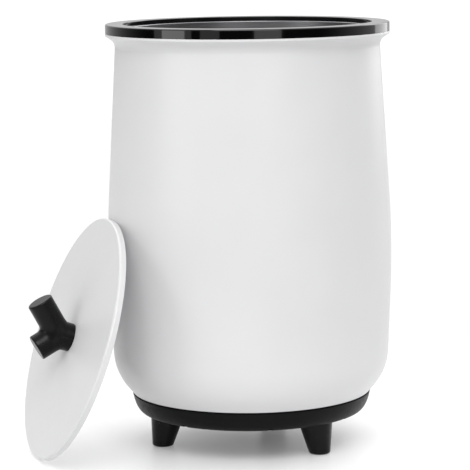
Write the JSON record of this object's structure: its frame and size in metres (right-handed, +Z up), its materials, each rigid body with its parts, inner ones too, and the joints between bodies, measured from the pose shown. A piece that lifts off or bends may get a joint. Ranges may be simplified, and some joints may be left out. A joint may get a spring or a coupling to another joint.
{
  "type": "towel warmer bucket",
  "caption": "Free-standing heated towel bucket on splayed legs, with a rim ring, drawn inner pot, rear power button and a separate round lid with a forked knob that leans on its side.",
  "frame": {"origin": "on the floor, on the bucket's own axis, between its three feet", "axes": "+Z up, -Y towards the front, +X to the right of the front"},
  "size_m": [0.4037, 0.3769, 0.4572],
  "materials": {
    "shell_plastic": "satin white moulded ABS",
    "rim_plastic": "polished black ABS",
    "base_plastic": "satin black polypropylene",
    "knob_plastic": "satin black moulded plastic",
    "foot_rubber": "matt black rubber",
    "liner_aluminium": "drawn, dark anodised",
    "heater_foil": "laminated aluminium foil",
    "felt": "needled insulating felt",
    "foam": "closed-cell foam",
    "zinc_steel": "zinc-plated steel",
    "phenolic": "black phenolic with a plain metal cap",
    "fuse_case": "tinned metal case",
    "circuit_board": "green solder mask",
    "component_case": "black moulded cases",
    "transformer_tape": "amber tape on a ferrite core",
    "terminal_nylon": "green nylon",
    "button_plastic": "satin white moulded ABS",
    "indicator_clear": "clear polycarbonate",
    "gland_nylon": "black nylon",
    "lead_silicone": "silicone-covered wire"
  },
  "bodies": {
    "bucket": {"outer_shell": "shell_plastic", "rim_ring": "rim_plastic", "base_tray": "base_plastic", "leg_front_left": "base_plastic", "leg_front_right": "base_plastic", "leg_rear": "base_plastic", "foot_pads": "foot_rubber", "inner_liner": "liner_aluminium", "heater_band": "heater_foil", "heater_plate": "heater_foil", "insulation_sleeve": "felt", "insulation_pad": "felt", "support_plate": "zinc_steel", "support_screws": "zinc_steel", "base_screws": "zinc_steel", "leg_screws": "zinc_steel", "board_screws": "zinc_steel", "switch_board_screws": "zinc_steel", "thermostat_nuts": "zinc_steel", "fuse_clip": "zinc_steel", "thermostat": "phenolic", "thermal_fuse": "fuse_case", "control_board": "circuit_board", "switch_board": "circuit_board", "relay": "component_case", "transformer": "transformer_tape", "capacitors": "component_case", "terminal_block": "terminal_nylon", "button_bezel": "rim_plastic", "tact_switch": "component_case", "indicator_led": "indicator_clear", "indicator_lens": "indicator_clear", "cable_gland": "gland_nylon", "heater_lead": "lead_silicone", "switch_lead": "lead_silicone"},
    "lid": {"lid_cover": "shell_plastic", "lid_plate": "shell_plastic", "lid_insulation": "foam", "lid_screws": "zinc_steel", "knob": "knob_plastic", "knob_screw": "zinc_steel", "knob_washer": "zinc_steel"},
    "button": {"power_button": "button_plastic", "switch_plunger": "component_case"}
  },
  "joints": [
    {"name": "lid_lift", "type": "slide", "parent": "bucket", "child": "lid", "axis": [-0.2171, -0.141, 0.9659], "range_m": [0, 0.45]},
    {"name": "button_press", "type": "slide", "parent": "bucket", "child": "button", "axis": [0, -1, 0], "range_m": [0, 0.0008], "stiffness_N_per_m": 3000}
  ]
}
